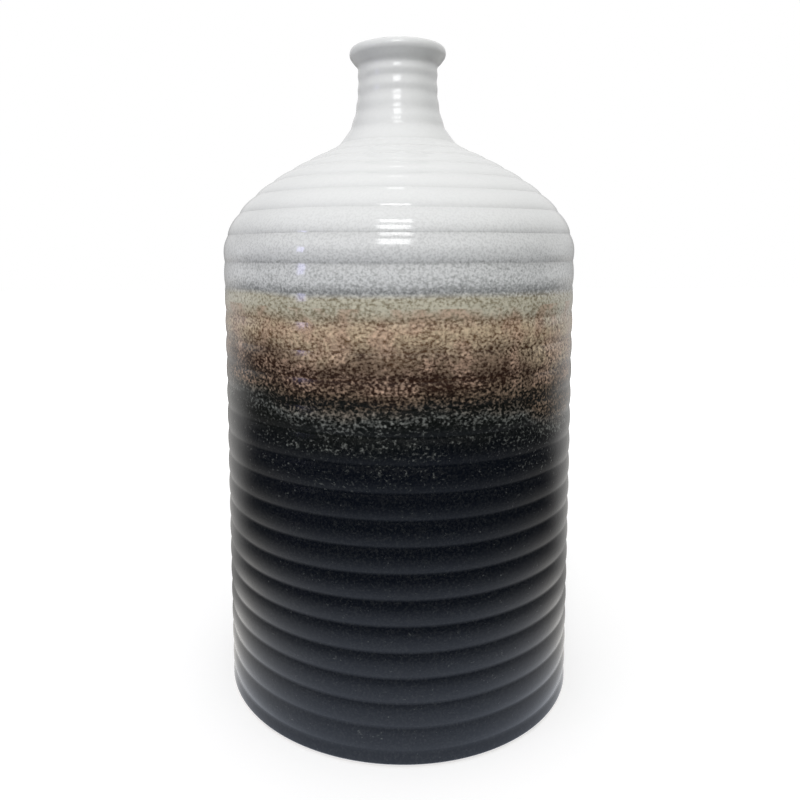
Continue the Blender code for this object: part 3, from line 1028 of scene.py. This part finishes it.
class VASE_OT_stage(bpy.types.Operator):
    """White table, studio lights, surroundings and the camera"""

    bl_idname = "vase.stage"
    bl_label = "Stage"

    def execute(self, context):
        self.table(context)
        self.surroundings(context)
        self.lamps(context)
        self.camera(context)
        context.scene.view_settings.view_transform = "Standard"
        return {"FINISHED"}

    def table(self, context):
        """Large white table under the pot."""
        bm = bmesh.new()
        bmesh.ops.create_grid(bm, x_segments=1, y_segments=1, size=TABLE_REACH)
        mesh = bpy.data.meshes.new("table")
        bm.to_mesh(mesh)
        bm.free()
        mesh.materials.append(material_for(white_laminate_table, context.scene.vase_studio))
        table = bpy.data.objects.new("table", mesh)
        context.scene.collection.objects.link(table)

    def surroundings(self, context):
        """White behind the pot, a dim room in front of it, white wherever the camera looks."""
        studio = context.scene.vase_studio
        world = bpy.data.worlds.new("studio")
        context.scene.world = world
        world.use_nodes = True
        tree = world.node_tree
        tree.nodes.clear()
        direction = add(tree, "ShaderNodeTexCoord").outputs["Generated"]
        axes = add(tree, "ShaderNodeSeparateXYZ", {0: direction}).outputs
        turned = add(
            tree, "ShaderNodeMath", {0: axes["X"], 1: HIGH_TURN, 2: axes["Y"]},
            operation="MULTIPLY_ADD",
        )
        rings = []
        for along, stops in ((axes["Y"], LOW_RING), (turned, HIGH_RING)):
            spot = add(
                tree, "ShaderNodeMapRange", {"Value": along, "From Min": -1.0, "From Max": 1.0}
            )
            ramp = add(tree, "ShaderNodeValToRGB", {"Fac": spot})
            ramp.color_ramp.interpolation = "EASE"
            while len(ramp.color_ramp.elements) < len(stops):
                ramp.color_ramp.elements.new(0.5)
            for element, (place, name) in zip(ramp.color_ramp.elements, stops):
                level = getattr(studio, name)
                element.position = (place + 1) / 2
                element.color = (level, level, level, 1.0)
            rings.append(ramp)
        room, high = rings
        ceiling = (studio.above, studio.above, studio.above, 1.0)
        for (low, top), upper in ((LOW_TO_HIGH, high), (HIGH_TO_CEILING, ceiling)):
            up = add(
                tree, "ShaderNodeMapRange", {"Value": axes["Z"], "From Min": low, "From Max": top},
                interpolation_type="SMOOTHSTEP",
            )
            room = add(
                tree, "ShaderNodeMix", {"Factor": up, "A": room, "B": upper}, data_type="RGBA"
            ).outputs["Result"]
        camera_ray = add(tree, "ShaderNodeLightPath").outputs["Is Camera Ray"]
        white = (1.0, 1.0, 1.0, 1.0)
        light = add(
            tree, "ShaderNodeMix", {"Factor": camera_ray, "A": room, "B": white}, data_type="RGBA"
        ).outputs["Result"]
        background = add(tree, "ShaderNodeBackground", {"Color": light})
        add(tree, "ShaderNodeOutputWorld", {"Surface": background})

    def lamps(self, context):
        """Softboxes in front and above, and a window on the left."""
        for name, (width, height, source, tint, turn, rise) in LAMPS.items():
            light = bpy.data.lights.new(name, "AREA")
            light.shape = "RECTANGLE"
            light.size, light.size_y = width, height
            radiance = getattr(context.scene.vase_studio, source)
            light.energy = radiance * math.pi * width * height
            light.color = linear(tint)
            turn, rise = math.radians(turn), math.radians(rise)
            towards = Vector((
                math.sin(turn) * math.cos(rise), -math.cos(turn) * math.cos(rise), math.sin(rise)
            ))
            lamp = bpy.data.objects.new(name, light)
            lamp.location = LAMP_AIM + LAMP_DISTANCE * towards
            lamp.rotation_euler = towards.to_track_quat("Z", "Y").to_euler()
            context.scene.collection.objects.link(lamp)

    def camera(self, context):
        """Camera close in front, a little above the shoulder."""
        camera = bpy.data.cameras.new("camera")
        camera.sensor_width = SENSOR_WIDTH
        camera.lens = LENS
        camera.shift_x, camera.shift_y = LENS_SHIFT
        camera.clip_start = 0.01
        view = bpy.data.objects.new("camera", camera)
        view.location = CAMERA_PLACE
        tilt = Matrix.Rotation(math.radians(90) - CAMERA_DIP, 3, "X")
        roll = Matrix.Rotation(CAMERA_ROLL, 3, "Z")
        view.rotation_euler = (tilt @ roll).to_euler()
        context.scene.collection.objects.link(view)
        context.scene.camera = view


OPERATORS = (
    VASE_OT_lower_body, VASE_OT_shoulder, VASE_OT_neck, VASE_OT_foot_pads, VASE_OT_stage,
)
GROUPS = {
    "vase_form": VaseForm,
    "vase_rings": VaseRings,
    "vase_glaze": VaseGlaze,
    "vase_studio": VaseStudio,
}


class VASE_PT_panel(bpy.types.Panel):
    """Sizes, colours and pieces of the jug vase"""

    bl_idname = "VASE_PT_panel"
    bl_label = "Jug Vase"
    bl_space_type = "VIEW_3D"
    bl_region_type = "UI"
    bl_category = "Jug Vase"

    def draw(self, context):
        for group_name, group in GROUPS.items():
            box = self.layout.box()
            for name in group.__annotations__:
                box.prop(getattr(context.scene, group_name), name)
        for operator in OPERATORS:
            self.layout.operator(operator.bl_idname)


def register():
    for group_name, group in GROUPS.items():
        bpy.utils.register_class(group)
        setattr(bpy.types.Scene, group_name, PointerProperty(type=group))
    for cls in OPERATORS + (VASE_PT_panel,):
        bpy.utils.register_class(cls)


def unregister():
    for cls in reversed(OPERATORS + (VASE_PT_panel,)):
        bpy.utils.unregister_class(cls)
    for group_name, group in reversed(GROUPS.items()):
        delattr(bpy.types.Scene, group_name)
        bpy.utils.unregister_class(group)


def main():
    register()
    bpy.ops.vase.lower_body()
    bpy.ops.vase.shoulder()
    bpy.ops.vase.neck()
    bpy.ops.vase.foot_pads()
    bpy.ops.vase.stage()


if __name__ == "__main__":
    main()
